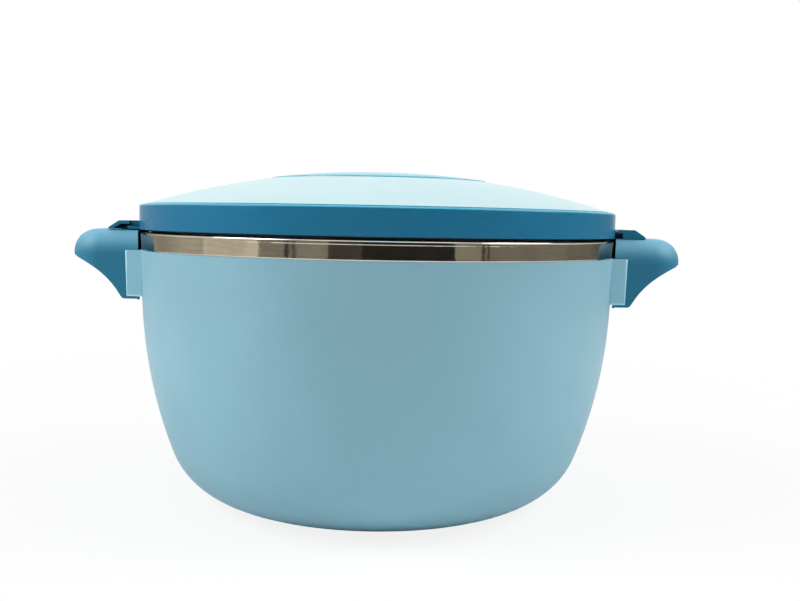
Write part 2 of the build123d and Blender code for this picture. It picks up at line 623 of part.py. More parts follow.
with BuildPart() as lid_skirt:
    with BuildSketch(RIGHT) as skirt_section:
        block(SKIRT_INNER_R, SKIRT_R, SKIRT_BOTTOM, SKIRT_TOP)
        block(COVER_SEAT_R, SKIRT_R, SHOULDER_TOP, SKIRT_TOP)
        fillet(skirt_section.vertices().group_by(Axis.Y)[-1].sort_by(Axis.X)[-1:], SKIRT_ROUND)
        block(SHOULDER_R, SKIRT_INNER_R, SHOULDER_TOP - SHOULDER, SHOULDER_TOP)
        block(LEDGE_R, SKIRT_INNER_R, LEDGE_BOTTOM, LEDGE_TOP)
    revolve(axis=Axis.Z)
    add(skirt_flats.part)
    with BuildSketch(RIGHT, LEFT):
        block(FLAT_X, SKIRT_R, SKIRT_BOTTOM, SKIRT_TOP)
    extrude(amount=FLAT_HALF, both=True, mode=Mode.SUBTRACT)
    with BuildSketch(*across(*both_ways(KNUCKLE_FROM, KNUCKLE_TO))):
        knuckle(PIN_X, PIN_Z, KNUCKLE_R)
        block(wall_x(KNUCKLE_TO), PIN_X, PIN_Z - KNUCKLE_WEB / 2, PIN_Z + KNUCKLE_WEB / 2)
    extrude(amount=KNUCKLE_TO - KNUCKLE_FROM)
    with BuildSketch(RIGHT):
        knuckle(PIN_X, PIN_Z, PIN_R + BORE_GAP)
    extrude(amount=HINGE_HALF, both=True, mode=Mode.SUBTRACT)
    with BuildSketch(LEFT) as tongue:
        block(wall_x(TONGUE_HALF), TONGUE_X, SKIRT_BOTTOM, TONGUE_TOP)
        fillet(tongue.vertices().group_by(Axis.X)[-1], (TONGUE_TOP - SKIRT_BOTTOM) / 4)
    extrude(amount=TONGUE_HALF, both=True)
    for y_from, y_to in [(-EAR_MID, EAR_MID)] + both_ways(EAR_FROM, EAR_TO):
        with BuildSketch(LEFT.offset(y_from)):
            knuckle(LATCH_X, LATCH_Z, LATCH_BARREL_R)
            block(min(wall_x(y_from), wall_x(y_to)), LATCH_X,
                  LATCH_Z - LATCH_BARREL_R, LATCH_Z + LATCH_BARREL_R)
        extrude(amount=y_to - y_from)
    with BuildSketch(LEFT):
        knuckle(LATCH_X, LATCH_Z, LATCH_PIN_R + BORE_GAP)
    extrude(amount=EAR_TO, both=True, mode=Mode.SUBTRACT)
    with BuildSketch(Plane.XY.offset(LEDGE_BOTTOM)):
        with lid_screw_places():
            Circle(SMALL_R + HOLE_GAP)
    extrude(amount=LEDGE, mode=Mode.SUBTRACT)
    with Locations((0, 0, LEDGE_BOTTOM)):
        with lid_screw_places():
            Cone(SMALL_HEAD_R + HOLE_GAP, SMALL_R + HOLE_GAP, SMALL_HEAD, align=LOW, mode=Mode.SUBTRACT)
lid_skirt.part.label = "lid_skirt"

with BuildPart() as cover_posts:
    with BuildSketch(Plane.XY.offset(LEDGE_TOP)):
        with lid_screw_places():
            Circle(LID_POST_R)
    extrude(amount=SKIRT_TOP)
    with BuildSketch(RIGHT):
        dome_outline(COVER_R, LEDGE_TOP, DOME_R - COVER_WALL / 2)
    revolve(axis=Axis.Z, mode=Mode.INTERSECT)

with BuildPart() as lid_cover:
    with BuildSketch(RIGHT) as cover_section:
        dome_outline(COVER_R, SHOULDER_TOP, DOME_R)
        block(0, CAP_SEAT_R, CAP_SEAT, DOME_APEX, Mode.SUBTRACT)
        fillet(cover_section.vertices().group_by(Axis.X)[1].sort_by(Axis.Y)[-1:], RECESS_ROUND)
    revolve(axis=Axis.Z)
    with BuildSketch(RIGHT):
        dome_outline(COVER_R - COVER_WALL, SHOULDER_TOP, DOME_R - COVER_WALL)
        block(0, CAP_SEAT_R + COVER_WALL, CAP_SEAT - COVER_WALL, DOME_APEX, Mode.SUBTRACT)
    revolve(axis=Axis.Z, mode=Mode.SUBTRACT)
    add(cover_posts.part)
    with BuildSketch(Plane.XY.offset(LEDGE_TOP)):
        with lid_screw_places():
            Circle(SMALL_R + HOLE_GAP)
    extrude(amount=LID_SCREW - LEDGE + SEAT, mode=Mode.SUBTRACT)
    with BuildSketch(Plane.XY.offset(CAP_SEAT)):
        Circle(FILL_HOLE_R)
        with cap_pin_places():
            Circle(CAP_PIN_R + SEAT)
    extrude(amount=-COVER_WALL, mode=Mode.SUBTRACT)
lid_cover.part.label = "lid_cover"

with BuildPart() as lid_screws:
    with BuildSketch(Plane.XY.offset(LEDGE_BOTTOM)):
        with lid_screw_places():
            Circle(SMALL_R)
    extrude(amount=LID_SCREW)
    with Locations((0, 0, LEDGE_BOTTOM)):
        with lid_screw_places():
            Cone(SMALL_HEAD_R, SMALL_R, SMALL_HEAD, align=LOW)
lid_screws.part.label = "lid_screws"


def cap_outline(inset):
    """Half section of the centre cap: upright rim, and a crown that carries on the dome's curve."""
    rim = (CAP_R - inset, CAP_RIM_Z - inset)
    crown = (0, CAP_CROWN_Z - inset)
    with BuildLine() as outline:
        Polyline(crown, (0, CAP_SEAT), (CAP_R - inset, CAP_SEAT), rim)
        RadiusArc(rim, crown, -((CAP_R - inset) ** 2 + CAP_CROWN ** 2) / (2 * CAP_CROWN))
    make_face(outline.edges())


with BuildPart() as centre_cap:
    with BuildSketch(RIGHT) as cap_section:
        cap_outline(0)
        fillet(cap_section.vertices().group_by(Axis.X)[-1].sort_by(Axis.Y)[-1:], CAP_ROUND)
    revolve(axis=Axis.Z)
    with BuildSketch(RIGHT):
        cap_outline(CAP_WALL)
    revolve(axis=Axis.Z, mode=Mode.SUBTRACT)
    with BuildSketch(Plane.XY.offset(CAP_SEAT - COVER_WALL)):
        with cap_pin_places():
            Circle(CAP_PIN_R)
    extrude(amount=CAP_RIM_Z + CAP_WALL / 2 - CAP_SEAT + COVER_WALL)
centre_cap.part.label = "centre_cap"

with BuildPart() as lid_fill_plug:
    with BuildSketch(Plane.XY.offset(CAP_SEAT)):
        Circle(PLUG_HEAD_R)
    extrude(amount=PLUG_HEAD)
    with BuildSketch(Plane.XY.offset(CAP_SEAT)):
        Circle(FILL_HOLE_R - BORE_GAP)
    extrude(amount=-COVER_WALL)
    chamfer(edges().group_by(Axis.Z)[0], PLUG_LEAD)
lid_fill_plug.part.label = "lid_fill_plug"

with BuildPart() as lid_liner:
    with BuildSketch(RIGHT) as liner_section:
        block(0, PLUG_R, PLUG_BOTTOM, LEDGE_BOTTOM)
        fillet(liner_section.vertices().group_by(Axis.Y)[0].sort_by(Axis.X)[-1:], PLUG_ROUND)
        block(0, LINER_R, LEDGE_BOTTOM - LINER, LEDGE_BOTTOM)
        with BuildSketch(mode=Mode.PRIVATE) as dish:
            block(0, PLUG_R - LINER, PLUG_BOTTOM + LINER, LEDGE_BOTTOM)
            fillet(dish.vertices().group_by(Axis.Y)[0].sort_by(Axis.X)[-1:], PLUG_ROUND - LINER)
        add(dish.sketch, mode=Mode.SUBTRACT)
    revolve(axis=Axis.Z)
lid_liner.part.label = "lid_liner"

with BuildPart() as lid_gasket:
    with BuildSketch(RIGHT) as gasket_section:
        block(GASKET_INNER_R, GASKET_OUTER_R, RIM_TOP + SEAT, LEDGE_BOTTOM - LINER)
        fillet(gasket_section.vertices().group_by(Axis.Y)[0], GASKET_ROUND)
    revolve(axis=Axis.Z)
lid_gasket.part.label = "lid_gasket"

with BuildPart() as lid_foam:
    with BuildSketch(RIGHT):
        dome_outline(LEDGE_R - SEAT, LEDGE_BOTTOM + FOAM_GAP, DOME_R - COVER_WALL - FOAM_GAP)
        block(0, CAP_SEAT_R + COVER_WALL + FOAM_GAP, CAP_SEAT - COVER_WALL - FOAM_GAP, DOME_APEX,
              Mode.SUBTRACT)
    revolve(axis=Axis.Z)
    with BuildSketch(RIGHT) as foam_plug:
        block(0, PLUG_R - LINER - FOAM_GAP, PLUG_BOTTOM + LINER + FOAM_GAP, LEDGE_BOTTOM + FOAM_GAP)
        fillet(foam_plug.vertices().group_by(Axis.Y)[0].sort_by(Axis.X)[-1:], PLUG_ROUND)
    revolve(axis=Axis.Z)
    with BuildSketch(Plane.XY.offset(LEDGE_BOTTOM)):
        with lid_screw_places():
            Circle(LID_POST_R + FOAM_GAP)
    extrude(amount=FAR, mode=Mode.SUBTRACT)
lid_foam.part.label = "lid_foam"

# ---------------------------------------------------------------- latch

with BuildPart() as latch_flap:
    plate_x = LATCH_X + LATCH_BARREL_R + SEAT
    with BuildSketch(LEFT):
        hood_outer(plate_x, HANDLE_TOP + SEAT)
        hood_hollow(plate_x, HANDLE_TOP + SEAT)
    extrude(amount=FLAP_HALF, both=True)
    for y_from, y_to in both_ways(EAR_MID + SEAT, EAR_FROM - SEAT):
        with BuildSketch(LEFT.offset(y_from)):
            knuckle(LATCH_X, LATCH_Z, LATCH_BARREL_R)
            block(LATCH_X, plate_x, HOOD_TOP - HOOD_WALL, HOOD_TOP)
        extrude(amount=y_to - y_from)
    with BuildSketch(LEFT):
        knuckle(LATCH_X, LATCH_Z, LATCH_PIN_R + BORE_GAP)
    extrude(amount=EAR_TO, both=True, mode=Mode.SUBTRACT)
    with BuildSketch(LEFT):
        with BuildLine():
            Polyline((RIB_TO_X + SEAT, SNAP_LOW), (HOOD_END_X - HOOD_WALL, SNAP_LOW),
                     (HOOD_CORNER_X, HOOD_TOP - HOOD_WALL), (RIB_TO_X + SEAT, CATCH_TOP - SEAT), close=True)
        make_face()
    extrude(amount=RIB_HALF, both=True)
latch_flap.part.label = "latch_flap"

with BuildPart() as latch_pin:
    with BuildSketch(LEFT):
        knuckle(LATCH_X, LATCH_Z, LATCH_PIN_R)
    extrude(amount=EAR_TO, both=True)
    chamfer(edges().filter_by(GeomType.CIRCLE), LATCH_PIN_R / 4)
latch_pin.part.label = "latch_pin"

with BuildPart() as catch_plate:
    with BuildSketch(LEFT):
        block(CATCH_FROM_X, CATCH_TO_X, HANDLE_TOP, HANDLE_TOP + CATCH_BASE)
    extrude(amount=CATCH_HALF, both=True)
    with BuildSketch(LEFT) as catch_rib:
        block(RIB_FROM_X, RIB_TO_X, HANDLE_TOP, CATCH_TOP)
        fillet(catch_rib.vertices().group_by(Axis.Y)[-1], RIB_WIDTH / 3)
    extrude(amount=RIB_HALF, both=True)
    with BuildSketch(Plane.XY.offset(HANDLE_TOP)):
        with Locations(*[(-x, y) for x, y in TOP_SCREWS]):
            Circle(SMALL_POST_R)
    extrude(amount=CATCH_POST)
    with BuildSketch(Plane.XY.offset(HANDLE_TOP)):
        with Locations(*[(-x, y) for x, y in TOP_SCREWS]):
            Circle(SMALL_R + HOLE_GAP)
    extrude(amount=CATCH_POST, mode=Mode.SUBTRACT)
catch_plate.part.label = "catch_plate"

with BuildPart() as catch_screws:
    add(top_screws.part, rotation=(0, 0, 180))
catch_screws.part.label = "catch_screws"

# ---------------------------------------------------------------- files

PIECES = (outer_shell, inner_pot, pot_foam, fill_plug, handle_left, handle_right, handle_screws_left,
          handle_screws_right, hinge_bracket, bracket_screws, hinge_pin, lid_skirt, lid_cover, lid_screws,
          centre_cap, lid_fill_plug, lid_liner, lid_gasket, lid_foam, latch_flap, latch_pin, catch_plate,
          catch_screws)
for piece in PIECES:
    export_step(piece.part, f"parts/{piece.part.label}.step")
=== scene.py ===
from math import pi, radians, tan

import bmesh
import bpy
from bpy.props import FloatProperty, FloatVectorProperty, PointerProperty
from mathutils import Matrix, Vector


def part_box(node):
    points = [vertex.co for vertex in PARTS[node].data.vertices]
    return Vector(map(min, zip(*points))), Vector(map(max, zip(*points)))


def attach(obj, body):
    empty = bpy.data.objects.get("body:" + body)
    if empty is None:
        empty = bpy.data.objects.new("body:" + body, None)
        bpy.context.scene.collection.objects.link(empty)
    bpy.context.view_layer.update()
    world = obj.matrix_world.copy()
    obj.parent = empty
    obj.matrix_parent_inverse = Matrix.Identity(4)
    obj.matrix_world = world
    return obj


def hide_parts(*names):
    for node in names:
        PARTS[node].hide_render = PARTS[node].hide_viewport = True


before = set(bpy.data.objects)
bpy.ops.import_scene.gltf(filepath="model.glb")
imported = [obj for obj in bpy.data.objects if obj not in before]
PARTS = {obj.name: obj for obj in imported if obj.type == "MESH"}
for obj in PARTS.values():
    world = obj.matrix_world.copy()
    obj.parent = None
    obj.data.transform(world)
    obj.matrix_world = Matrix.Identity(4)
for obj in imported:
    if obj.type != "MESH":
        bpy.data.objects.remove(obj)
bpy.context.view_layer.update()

bl_info = {
    "name": "Insulated casserole",
    "version": (1, 0, 0),
    "blender": (4, 5, 0),
    "location": "View3D > Sidebar > Casserole",
    "description": "Finishes and a small studio for a hinged insulated casserole",
    "category": "Object",
}

MM = 0.001


# ---------------------------------------------------------------- shader maths


OBJECT_COORDINATES = 3      # their place among the outputs of a Texture Coordinate node


class Signal:
    """A socket of a node tree. Arithmetic on it adds Math nodes."""

    def __init__(self, finish, socket):
        self.finish = finish
        self.socket = socket

    def __add__(self, other):
        return self.finish.maths("ADD", self, other)

    def __sub__(self, other):
        return self.finish.maths("SUBTRACT", self, other)

    def __mul__(self, other):
        return self.finish.maths("MULTIPLY", self, other)

    def __rsub__(self, other):
        return self.finish.maths("SUBTRACT", other, self)

    __radd__ = __add__
    __rmul__ = __mul__


class Finish:
    """One material or world and its nodes."""

    def __init__(self, owner):
        owner.use_nodes = True
        self.owner = owner
        self.tree = owner.node_tree
        self.tree.nodes.clear()

    def plug(self, socket, value):
        """Links a signal to a socket, or writes a number or colour on it."""
        if isinstance(value, Signal):
            self.tree.links.new(value.socket, socket)
        elif socket.type == "RGBA" and len(value) == 3:
            socket.default_value = (*value, 1.0)
        else:
            socket.default_value = value

    def node(self, kind, settings=(), sockets=(), output=0):
        """Adds a node: its settings first, then the values or links of its sockets."""
        node = self.tree.nodes.new(kind)
        for name, value in dict(settings).items():
            setattr(node, name, value)
        for key, value in dict(sockets).items():
            self.plug(node.inputs[key], value)
        return Signal(self, node.outputs[output])

    def maths(self, operation, first, second=0.0):
        """One Math node."""
        return self.node("ShaderNodeMath", {"operation": operation}, {0: first, 1: second})

    def between(self, value, low, high):
        """0 below low, 1 above high and smooth in between."""
        return self.node("ShaderNodeMapRange", {"interpolation_type": "SMOOTHSTEP"},
                         {"Value": value, "From Min": low, "From Max": high})

    def blend(self, share, first, second):
        """Mixes two colours."""
        return self.node("ShaderNodeMix", {"data_type": "RGBA"},
                         {"Factor": share, 6: first, 7: second}, output=2)

    def place(self, scale=(1.0, 1.0, 1.0)):
        """The point on the surface in metres, stretched."""
        point = self.node("ShaderNodeTexCoord", output=OBJECT_COORDINATES)
        return self.node("ShaderNodeMapping", {}, {"Vector": point, "Scale": scale})

    def split(self, vector):
        """The three parts of a vector."""
        x = self.node("ShaderNodeSeparateXYZ", {}, {"Vector": vector})
        return [Signal(self, socket) for socket in x.socket.node.outputs]

    def radius(self, x, y):
        """The distance from the upright axis."""
        return self.maths("SQRT", x * x + y * y)

    def combine(self, x, y, z):
        """A vector from its three parts."""
        return self.node("ShaderNodeCombineXYZ", {}, {"X": x, "Y": y, "Z": z})

    def noise(self, vector, scale, detail=3.0, roughness=0.55):
        """A noise whose scale is how often it repeats in a metre."""
        return self.node("ShaderNodeTexNoise", {},
                         {"Vector": vector, "Scale": scale, "Detail": detail, "Roughness": roughness})

    def bump(self, height, strength, distance):
        """A relief that is this deep, in metres."""
        return self.node("ShaderNodeBump", {},
                         {"Strength": strength, "Distance": distance, "Height": height})

    def surface(self, shader):
        """Ends the tree with this shader and returns its material or world."""
        output = self.tree.nodes.new("ShaderNodeOutputWorld" if isinstance(self.owner, bpy.types.World)
                                     else "ShaderNodeOutputMaterial")
        self.tree.links.new(shader.socket, output.inputs["Surface"])
        return self.owner


PEEL_DEPTH = 0.12 * MM      # orange peel of moulded plastic
SHEET_WAVES = 0.25 * MM     # unevenness of polished sheet
TURNING_DEPTH = 0.1 * MM    # turning lines of spun steel
DUST_DEPTH = 0.2 * MM       # dusty skin of silicone
CELL_DEPTH = 0.6 * MM       # cut cells of foam
PAD_DEPTH = 10 * MM         # the pads' painted light reaches this far inwards from their outer face
# Painted light: the pads are made this much lighter than the body, for the light that falls on them
PAD_PAINTED_LIGHT = 1.25
SATIN_STEP = 3 * MM         # from polished to satin steel
STEEL_TINT = (0.45, 0.46, 0.48)   # dims the glancing reflections of polished steel


def shades(colour, low, high):
    """A darker and a lighter version of a colour."""
    return [c * low for c in colour], [min(1.0, c * high) for c in colour]


def paint_light_on_pads(f, tint, point, colour, painted_light_tint, reach, foot):
    """Paints light on the flat pads at both sides, and a painted highlight on their outer and lower edges.
    """
    x, y, z = f.split(point)
    x = f.maths("ABSOLUTE", x)
    above = f.between(z, foot - 0.2 * MM, foot)
    whole = f.between(x, reach - PAD_DEPTH, reach - PAD_DEPTH + 0.3 * MM) * above
    side = f.between(x, reach - 1.6 * MM, reach - 0.9 * MM) * above
    under = f.between(z, foot + 1.3 * MM, foot + 0.6 * MM) * whole
    tint = f.blend(whole, tint, [c * PAD_PAINTED_LIGHT for c in colour])
    return f.blend(f.maths("MAXIMUM", side, under), tint, painted_light_tint)


def moulded_plastic(name, colour, roughness, shade=0.04, peel=0.25, streaks=0.0, gloss=0.5,
                    edge=None, pads=None):
    """Injection-moulded plastic: faint clouding of its colour, orange peel and handling marks.

    An edge is a colour painted over a band of height, as a painted highlight or a painted shade, with the
    height where it starts and the height where it is full. Pads are the colour of the painted highlight on
    their outer and lower edges, how far out from the middle they reach and the height of their foot; the
    pads get painted light."""
    f = Finish(bpy.data.materials.new(name))
    point = f.place()
    clouds = f.noise(point, 9.0, 2.0)
    specks = f.noise(point, 900.0, 2.0)
    tint = f.blend(f.between(clouds * 0.8 + specks * 0.2, 0.35, 0.65), *shades(colour, 1 - shade, 1 + shade))
    # Painted highlight or painted shade along an edge, by height
    if edge:
        painted_light_tint, start, full = edge
        tint = f.blend(f.between(f.split(point)[2], start, full), tint, painted_light_tint)
    # Painted light on the pads, with a painted highlight on their edges
    if pads:
        tint = paint_light_on_pads(f, tint, point, colour, *pads)
    marks = f.noise(f.place((1.0, 1.0, 2.6)), 26.0, 3.0, 0.5)
    polish = roughness + f.between(marks, 0.25, 0.85) * 0.05
    ripple = f.noise(point, 210.0, 2.0)
    height = ripple + specks * 0.3
    if streaks:
        lines = f.noise(f.place((60.0, 4.0, 900.0)), 1.0, 3.0)
        height = height + lines * streaks
        polish = polish + f.between(lines, 0.4, 0.7) * 0.05
    shader = f.node("ShaderNodeBsdfPrincipled", {}, {
        "Base Color": tint, "Roughness": polish, "Specular IOR Level": gloss,
        "Normal": f.bump(height, peel, PEEL_DEPTH)})
    return f.surface(shader)


def polished_steel(name, colour, satin_inside):
    """Polished sheet, faintly uneven with fine lines round it, and satin inside the given radius."""
    f = Finish(bpy.data.materials.new(name))
    x, y, z = f.split(f.place())
    angle = f.maths("ARCTAN2", y, x)
    radius = f.radius(x, y)
    uneven = f.noise(f.combine(angle * 9.0, radius * 90.0, z * 90.0), 1.0, 2.0)
    lines = f.noise(f.combine(angle * 6.0, 0.0, z * 1500.0), 1.0, 3.0, 0.6)
    marks = f.noise(f.place(), 70.0, 5.0, 0.65)
    tint = f.blend(f.between(lines * 0.6 + marks * 0.4, 0.35, 0.65), *shades(colour, 0.88, 1.06))
    polish = 0.03 + f.between(marks, 0.45, 0.75) * 0.06 + lines * 0.03
    satin = f.between(radius, satin_inside, satin_inside - SATIN_STEP)
    polish = polish + satin * (0.2 + lines * 0.12)
    shader = f.node("ShaderNodeBsdfPrincipled", {}, {
        "Base Color": tint, "Metallic": 1.0, "Roughness": polish, "Specular Tint": STEEL_TINT,
        "Normal": f.bump(uneven + lines * 0.03, 0.35, SHEET_WAVES)})
    return f.surface(shader)


def spun_steel(name, colour, roughness, lines):
    """Stainless steel with fine turning lines round the axis, this many in a metre."""
    f = Finish(bpy.data.materials.new(name))
    x, y, z = f.split(f.place())
    across = f.combine(f.radius(x, y) * lines, f.maths("ARCTAN2", y, x) * 1.5, z * lines)
    turning = f.noise(across, 1.0, 3.0, 0.6)
    clouds = f.noise(f.place(), 24.0, 4.0)
    tint = f.blend(f.between(clouds * 0.5 + turning * 0.5, 0.4, 0.6), *shades(colour, 0.94, 1.04))
    polish = roughness + f.between(clouds, 0.3, 0.8) * 0.03 + turning * 0.04
    shader = f.node("ShaderNodeBsdfPrincipled", {}, {
        "Base Color": tint, "Metallic": 1.0, "Roughness": polish,
        "Normal": f.bump(turning, 0.2, TURNING_DEPTH)})
    return f.surface(shader)


def soft_silicone(name, colour):
    """Silicone rubber with a dusty surface."""
    f = Finish(bpy.data.materials.new(name))
    dust = f.noise(f.place(), 320.0, 4.0, 0.65)
    tint = f.blend(f.between(dust, 0.3, 0.7), *shades(colour, 0.93, 1.0))
    shader = f.node("ShaderNodeBsdfPrincipled", {}, {
        "Base Color": tint, "Roughness": 0.42 + dust * 0.2, "Normal": f.bump(dust, 0.3, DUST_DEPTH)})
    return f.surface(shader)


def foam(name, colour):
    """Rigid foam with open cut cells."""
    f = Finish(bpy.data.materials.new(name))
    cells = f.node("ShaderNodeTexVoronoi", {"feature": "F1"}, {"Vector": f.place(), "Scale": 700.0})
    tint = f.blend(f.between(cells, 0.1, 0.7), *shades(colour, 0.8, 1.0))
    shader = f.node("ShaderNodeBsdfPrincipled", {}, {
        "Base Color": tint, "Roughness": 0.85 + cells * 0.1, "Normal": f.bump(cells, 0.6, CELL_DEPTH)})
    return f.surface(shader)


# ---------------------------------------------------------------- making shapes


def lay_out(corners):
    """Draws a half section in the XZ plane: corners are radius, height and rounding in millimetres."""
    mesh = bmesh.new()
    points = [Vector((radius, 0, height)) * MM for radius, height, _ in corners]
    verts = [mesh.verts.new(point) for point in points]
    for pair in zip(verts, verts[1:]):
        mesh.edges.new(pair)
    for place in range(1, len(corners) - 1):
        rounding = corners[place][2] * MM
        if rounding:
            into, out = points[place] - points[place - 1], points[place + 1] - points[place]
            turn = into.angle(out)
            bmesh.ops.bevel(mesh, geom=[verts[place]], offset=rounding * tan(turn / 2), affect="VERTICES",
                            segments=max(2, round(turn * 8)), profile=0.5, material=-1)
    return mesh


def turn_round(mesh, steps):
    """Spins an outline round the axis, closes its poles and turns its faces outwards."""
    bmesh.ops.spin(mesh, geom=mesh.verts[:] + mesh.edges[:], cent=(0, 0, 0), axis=(0, 0, 1),
                   angle=2 * pi, steps=steps, use_merge=True)
    bmesh.ops.remove_doubles(mesh, verts=mesh.verts[:], dist=0.01 * MM)
    bmesh.ops.recalc_face_normals(mesh, faces=mesh.faces[:])


def make_piece(name, mesh, material, body, slot, *nodes):
    """Turns a mesh into a piece that rides on a body and stands for CAD nodes."""
    for face in mesh.faces:
        face.smooth = True
    data = bpy.data.meshes.new(name)
    mesh.to_mesh(data)
    mesh.free()
    data.materials.append(material)
    piece = bpy.data.objects.new(name, data)
    bpy.context.scene.collection.objects.link(piece)
    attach(piece, body)
    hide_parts(*nodes)


# ---------------------------------------------------------------- settings


class CasseroleColours(bpy.types.PropertyGroup):
    """Colours that a user would change."""
    body: FloatVectorProperty(name="Body", description="Plastic of the body and its handle pads",
                              subtype="COLOR", size=3, min=0, max=1, default=(0.259, 0.493, 0.592))
    dome: FloatVectorProperty(name="Dome", description="Plastic of the lid's domed cover",
                              subtype="COLOR", size=3, min=0, max=1, default=(0.49, 0.71, 0.745))
    skirt: FloatVectorProperty(name="Skirt", description="Plastic of the lid's skirt",
                               subtype="COLOR", size=3, min=0, max=1, default=(0.017, 0.173, 0.315))
    handles: FloatVectorProperty(name="Handles", description="Plastic of handles, hinge cover and latch",
                                 subtype="COLOR", size=3, min=0, max=1, default=(0.004, 0.185, 0.315))
    # Painted light: this colour paints a highlight on the skirt's top edge, and paints shade on the dome's
    # lower edge and round the cap's rim
    edge: FloatVectorProperty(name="Thin edges", description="Top edge of the skirt and rim of the cap",
                              subtype="COLOR", size=3, min=0, max=1, default=(0.075, 0.46, 0.62))
    cap: FloatVectorProperty(name="Cap", description="Plastic of the cap in the lid's centre",
                             subtype="COLOR", size=3, min=0, max=1, default=(0.17, 0.56, 0.68))
    steel: FloatVectorProperty(name="Steel", description="Stainless steel of bowl, band and lid liner",
                               subtype="COLOR", size=3, min=0, max=1, default=(0.62, 0.59, 0.53))


class CasseroleSizes(bpy.types.PropertyGroup):
    """Sizes of the steel bowl that a user would change."""
    sheet: FloatProperty(name="Sheet", description="Thickness of the bowl's steel sheet", unit="LENGTH",
                         min=0.0003, default=0.0008)
    wall: FloatProperty(name="Wall", description="From the outside of the band to the inside of the mouth",
                        unit="LENGTH", min=0.004, default=0.01428)
    band: FloatProperty(name="Band", description="Height of the band round the rim", unit="LENGTH",
                        min=0.004, default=0.0107)


class StudioSettings(bpy.types.PropertyGroup):
    """Camera and lamps."""
    distance: FloatProperty(name="Distance", description="From the casserole's axis to the camera",
                            unit="LENGTH", min=0.2, default=0.61835)
    height: FloatProperty(name="Height", description="Height of the camera over the floor",
                          unit="LENGTH", min=0.0, default=0.1754)
    lens: FloatProperty(name="Lens", description="Focal length in millimetres", min=10.0, default=42.906)
    turn: FloatProperty(name="Turn", description="The camera stands this far round towards the hinge",
                        unit="ROTATION", default=radians(0.6))
    aim: FloatProperty(name="Aim", description="The camera looks this far to the right of the axis",
                       unit="ROTATION", default=radians(1.366))
    tilt: FloatProperty(name="Tilt", description="The camera looks down by this angle",
                        unit="ROTATION", default=radians(4.818))
    roll: FloatProperty(name="Roll", description="Roll of the camera", unit="ROTATION",
                        default=radians(1.118))
    left_lamp: FloatProperty(name="Left lamp", description="Power of the lamp at the left, in watts",
                             min=0.0, default=23.0)
    right_lamp: FloatProperty(name="Right lamp", description="Power of the lamp at the right, in watts",
                              min=0.0, default=21.5)
    front_lamp: FloatProperty(name="Front lamp", description="Power of the low lamp in front, in watts",
                              min=0.0, default=1.6)
    top_lamp: FloatProperty(name="Top lamp", description="Power of the overhead lamp in watts",
                            min=0.0, default=8.0)
    fill: FloatProperty(name="Fill", description="Strength of the even light from all round",
                        min=0.0, default=0.08)


# ---------------------------------------------------------------- finishes


FOAM_CREAM = (0.86, 0.80, 0.58)
ZINC = (0.50, 0.51, 0.52)
BRIGHT_WIRE = (0.72, 0.73, 0.74)
DULL_WIRE = (0.10, 0.16, 0.21)
# Dark grey silicone; its darkness also paints the shade in the gap between the skirt and the band
DARK_SILICONE = (0.10, 0.11, 0.12)
HANDLE_PAINTED_HIGHLIGHT = (0.135, 0.26, 0.30)    # painted highlight: what the handles' tops are lighter by, where the light from above falls
PAD_FOOT = 0.1267                     # height of the pads' lower edge


def dress(material, *names):
    """Gives CAD parts a finish."""
    for name in names:
        part = PARTS[name]
        part.data.materials.clear()
        part.data.materials.append(material)


class CASSEROLE_OT_body(bpy.types.Operator):
    """Finish the moulded body with its pads and the plug of its filling hole"""
    bl_idname = "casserole.body"
    bl_label = "Body"

    def execute(self, context):
        colours = context.scene.casserole_colours
        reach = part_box("outer_shell")[1].x
        # Painted highlight for the pads' outer and lower edges; the pads also get painted light all over
        painted_light_tint = [min(1.0, c * 1.55 + 0.12) for c in colours.body]
        dress(moulded_plastic("body plastic", colours.body, 0.36, gloss=0.22,
                              pads=(painted_light_tint, reach, PAD_FOOT)), "outer_shell", "fill_plug")
        dress(foam("rigid foam", FOAM_CREAM), "pot_foam", "lid_foam")
        return {"FINISHED"}


# The bowl's section, in millimetres: the corners of heel and belly from the mouth's radius, and the roll
HEEL_INSET, HEEL_ROUND = 26.3, 35.2
BELLY_INSET, BELLY_HEIGHT, BELLY_ROUND = 2.5, 63.3, 261.2
ROLL, ROLL_STEP = 2.3, 0.055
BOWL_STEPS = 240
SATIN_INSET = 10 * MM       # the steel is satin this far inside the band


class CASSEROLE_OT_bowl(bpy.types.Operator):
    """Make the steel bowl from its floor over the rolled rim to the lower edge of the outer band"""
    bl_idname = "casserole.bowl"
    bl_label = "Steel bowl"

    def execute(self, context):
        colours = context.scene.casserole_colours
        sizes = context.scene.casserole_sizes
        low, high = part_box("inner_pot")
        rim, band, sheet = high.z / MM, high.x / MM, sizes.sheet / MM
        under = low.z / MM
        floor = under + sheet
        mouth = band - sizes.wall / MM
        edge = rim - sizes.band / MM
        heel, belly = mouth - HEEL_INSET, mouth - BELLY_INSET
        mesh = lay_out((
            (0, floor, 0),
            (heel, floor, HEEL_ROUND),
            (belly, floor + BELLY_HEIGHT, BELLY_ROUND),
            (mouth, rim, 1.8),
            (band, rim, 1.7),
            (band, rim - ROLL, 0.8),
            (band - ROLL_STEP, rim - ROLL - 0.5, 0.8),
            (band, edge + 0.6, 0.5),
            (band - 0.25, edge, 0),
            (band - sheet, edge, 0),
            (band - sheet - 0.2, rim - sheet, 1.0),
            (mouth + sheet, rim - sheet, 1.0),
            (belly + sheet, floor + BELLY_HEIGHT, BELLY_ROUND + sheet),
            (heel + sheet, under, HEEL_ROUND + sheet),
            (0, under, 0)))
        turn_round(mesh, BOWL_STEPS)
        steel = polished_steel("band steel", colours.steel, high.x - SATIN_INSET)
        make_piece("steel_bowl", mesh, steel, "pot", "bowl_steel", "inner_pot")
        return {"FINISHED"}


